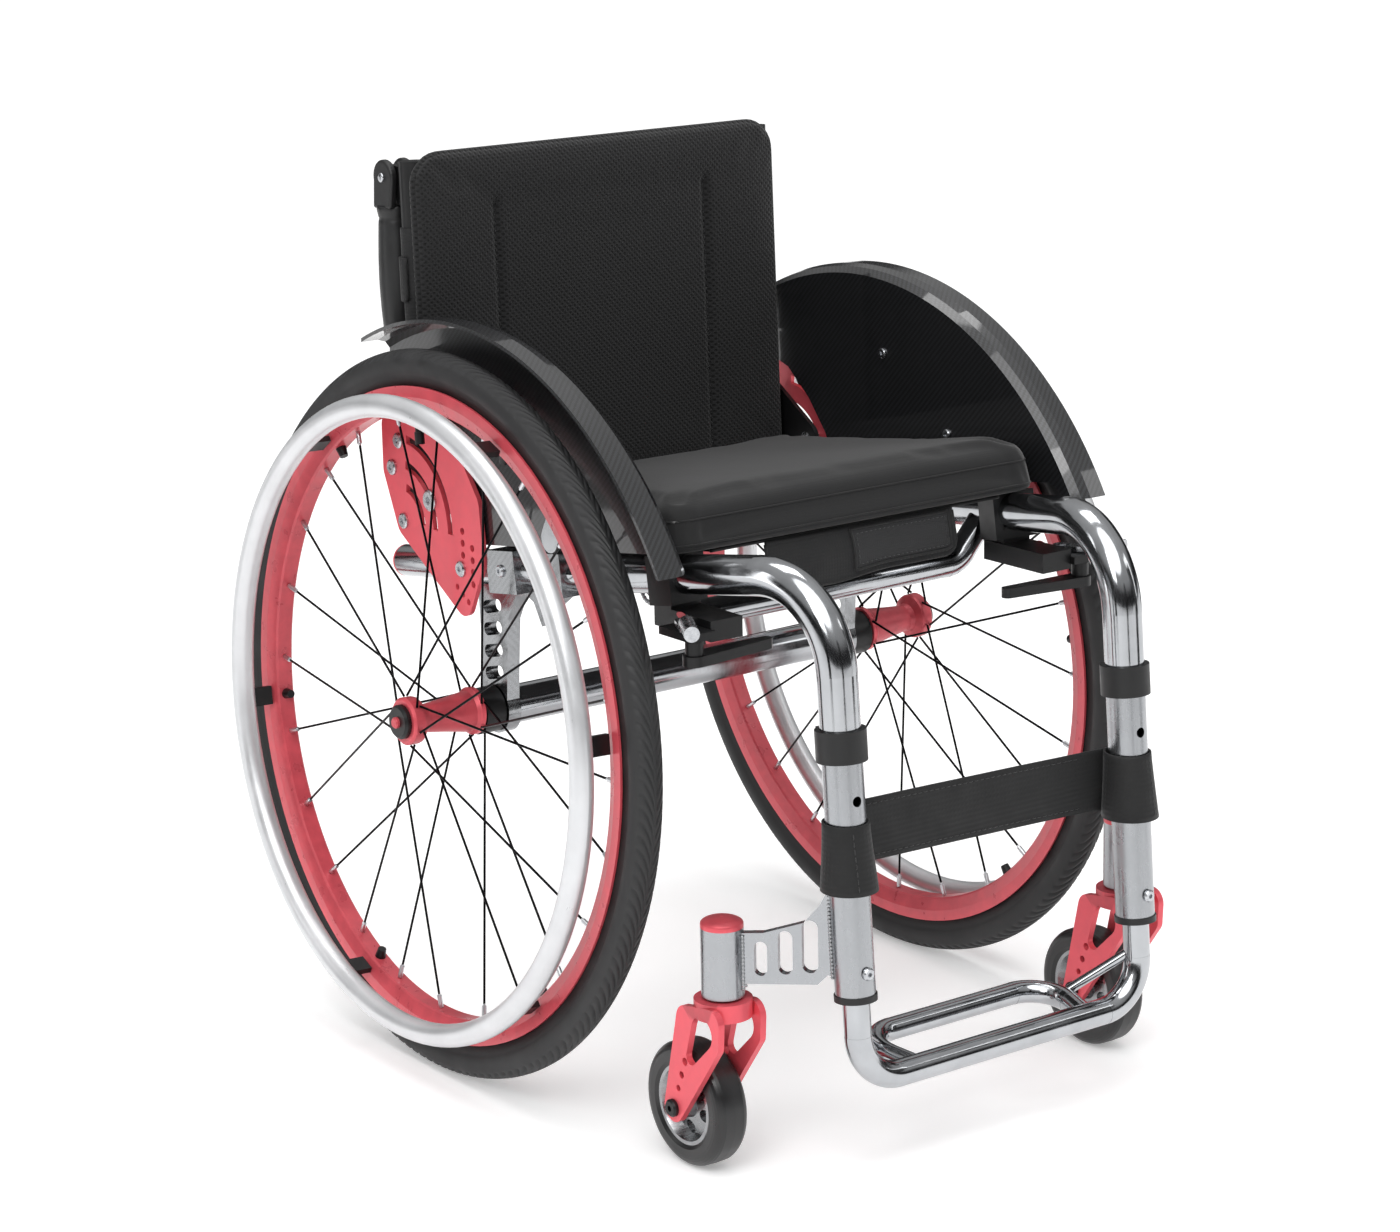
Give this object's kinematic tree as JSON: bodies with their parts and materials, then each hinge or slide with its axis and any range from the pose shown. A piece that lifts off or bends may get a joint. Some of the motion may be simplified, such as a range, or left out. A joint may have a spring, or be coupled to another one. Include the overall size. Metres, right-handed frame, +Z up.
{
  "type": "manual wheelchair",
  "caption": "Rigid-frame active manual wheelchair with cambered spoked rear wheels, push rims, swivelling casters, padded seat, folding backrest, side guards and scissor brakes.",
  "frame": {"origin": "on the floor, midway between the footrest bar's front and the rear tyres' back, in the chair's mid plane", "axes": "+Z up, -Y the way the chair faces, +X to the sitting person's left"},
  "size_m": [0.5854, 0.7333, 0.7418],
  "materials": {
    "polished_aluminium": "polished",
    "caster_alloy": "machined",
    "red_anodised": "satin anodised",
    "red_rim": "gloss painted",
    "rubber_black": "moulded",
    "bearing_steel": "ground",
    "bolt_steel": "zinc plated",
    "black_anodised": "satin anodised",
    "spoke_black": "black",
    "push_rim_silver": "silver anodised",
    "tyre_rubber": "moulded rubber",
    "caster_rubber": "smooth polyurethane",
    "cane_black": "powder coated",
    "handle_plastic": "moulded grip",
    "carbon": "lacquered carbon fibre",
    "back_fabric": "air mesh",
    "cushion_fabric": "stretch knit",
    "seat_fabric": "woven nylon",
    "strap_webbing": "neoprene"
  },
  "bodies": {
    "frame": {"side_tube_right": "polished_aluminium", "side_tube_left": "polished_aluminium", "end_caps": "red_anodised", "cross_tube": "polished_aluminium", "camber_tube": "polished_aluminium", "axle_bracket_right": "polished_aluminium", "axle_bracket_left": "polished_aluminium", "axle_receivers": "black_anodised", "leg_tubes": "polished_aluminium", "leg_collars": "rubber_black", "caster_bracket_right": "polished_aluminium", "caster_bracket_left": "polished_aluminium", "stem_bearings": "bearing_steel", "back_plate_right": "red_anodised", "back_plate_left": "red_anodised", "seat_sling": "seat_fabric", "cushion": "cushion_fabric", "side_guard_right": "carbon", "side_guard_left": "carbon", "guard_brackets": "polished_aluminium", "frame_bolts": "bolt_steel", "brake_body_right": "black_anodised", "brake_body_left": "black_anodised", "calf_strap": "strap_webbing", "axle_pin_right": "black_anodised", "axle_pin_left": "black_anodised"},
    "wheel_right": {"hub_right": "red_anodised", "hub_bearings_right": "bearing_steel", "spokes_right": "spoke_black", "rim_right": "red_rim", "tyre_right": "tyre_rubber", "push_rim_right": "push_rim_silver", "push_rim_tabs_right": "black_anodised"},
    "axle_button_right": {"axle_button_right": "red_anodised"},
    "swivel_right": {"caster_fork_right": "red_anodised", "fork_hardware_right": "black_anodised"},
    "caster_right": {"caster_hub_right": "caster_alloy", "caster_tyre_right": "caster_rubber"},
    "wheel_left": {"hub_left": "red_anodised", "hub_bearings_left": "bearing_steel", "spokes_left": "spoke_black", "rim_left": "red_rim", "tyre_left": "tyre_rubber", "push_rim_left": "push_rim_silver", "push_rim_tabs_left": "black_anodised"},
    "axle_button_left": {"axle_button_left": "red_anodised"},
    "swivel_left": {"caster_fork_left": "red_anodised", "fork_hardware_left": "black_anodised"},
    "caster_left": {"caster_hub_left": "caster_alloy", "caster_tyre_left": "caster_rubber"},
    "backrest": {"back_canes": "cane_black", "back_stiffener": "polished_aluminium", "back_upholstery": "back_fabric"},
    "push_handle_right": {"push_handle_right": "handle_plastic"},
    "push_handle_left": {"push_handle_left": "handle_plastic"},
    "footrest": {"footrest": "polished_aluminium"},
    "brake_lever_right": {"brake_lever_right": "black_anodised"},
    "brake_pusher_right": {"brake_pusher_right": "bolt_steel"},
    "brake_lever_left": {"brake_lever_left": "black_anodised"},
    "brake_pusher_left": {"brake_pusher_left": "bolt_steel"}
  },
  "joints": [
    {"name": "wheel_right_spin", "type": "hinge", "parent": "frame", "child": "wheel_right", "pos_m": [-0.235, 0.06783, 0.29777], "axis": [-0.9992, 0, 0.0401], "continuous": true},
    {"name": "axle_button_right_press", "type": "slide", "parent": "frame", "child": "axle_button_right", "axis": [0.9992, 0, -0.0401], "range_m": [0, 0.003], "stiffness_N_per_m": 600, "springref_m": -0.001},
    {"name": "caster_right_swivel", "type": "hinge", "parent": "frame", "child": "swivel_right", "pos_m": [-0.205, -0.26917, 0.146], "axis": [0, 0, 1], "continuous": true},
    {"name": "caster_right_spin", "type": "hinge", "parent": "swivel_right", "child": "caster_right", "pos_m": [-0.205, -0.23317, 0.0495], "axis": [1, 0, 0], "continuous": true},
    {"name": "wheel_left_spin", "type": "hinge", "parent": "frame", "child": "wheel_left", "pos_m": [0.235, 0.06783, 0.29777], "axis": [0.9992, 0, 0.0401], "continuous": true},
    {"name": "axle_button_left_press", "type": "slide", "parent": "frame", "child": "axle_button_left", "axis": [-0.9992, 0, -0.0401], "range_m": [0, 0.003], "stiffness_N_per_m": 600, "springref_m": -0.001},
    {"name": "caster_left_swivel", "type": "hinge", "parent": "frame", "child": "swivel_left", "pos_m": [0.205, -0.26917, 0.146], "axis": [0, 0, 1], "continuous": true},
    {"name": "caster_left_spin", "type": "hinge", "parent": "swivel_left", "child": "caster_left", "pos_m": [0.205, -0.23317, 0.0495], "axis": [1, 0, 0], "continuous": true},
    {"name": "backrest_fold", "type": "hinge", "parent": "frame", "child": "backrest", "pos_m": [0, 0.12183, 0.46277], "axis": [1, 0, 0], "range_deg": [0, 80]},
    {"name": "push_handle_right_fold", "type": "hinge", "parent": "backrest", "child": "push_handle_right", "pos_m": [-0.175, 0.20229, 0.71812], "axis": [1, 0, 0], "range_deg": [0, 90]},
    {"name": "push_handle_left_fold", "type": "hinge", "parent": "backrest", "child": "push_handle_left", "pos_m": [0.175, 0.20229, 0.71812], "axis": [1, 0, 0], "range_deg": [0, 90]},
    {"name": "footrest_height", "type": "slide", "parent": "frame", "child": "footrest", "axis": [0, -0.0732, -0.9973], "range_m": [-0.015, 0.03]},
    {"name": "brake_right_lever", "type": "hinge", "parent": "frame", "child": "brake_lever_right", "pos_m": [-0.19393, -0.22657, 0.40815], "axis": [0, 0, -1], "range_deg": [0, 90]},
    {"name": "brake_right_pusher", "type": "hinge", "parent": "frame", "child": "brake_pusher_right", "pos_m": [-0.18993, -0.20857, 0.40815], "axis": [0, 0, -1], "range_deg": [0, 60]},
    {"name": "brake_left_lever", "type": "hinge", "parent": "frame", "child": "brake_lever_left", "pos_m": [0.19393, -0.22657, 0.40815], "axis": [0, 0, 1], "range_deg": [0, 90]},
    {"name": "brake_left_pusher", "type": "hinge", "parent": "frame", "child": "brake_pusher_left", "pos_m": [0.18993, -0.20857, 0.40815], "axis": [0, 0, 1], "range_deg": [0, 60]}
  ],
  "couplings": [
    {"joint": "brake_right_pusher", "follows": "brake_right_lever", "ratio": 0.66667},
    {"joint": "brake_left_pusher", "follows": "brake_left_lever", "ratio": 0.66667}
  ]
}
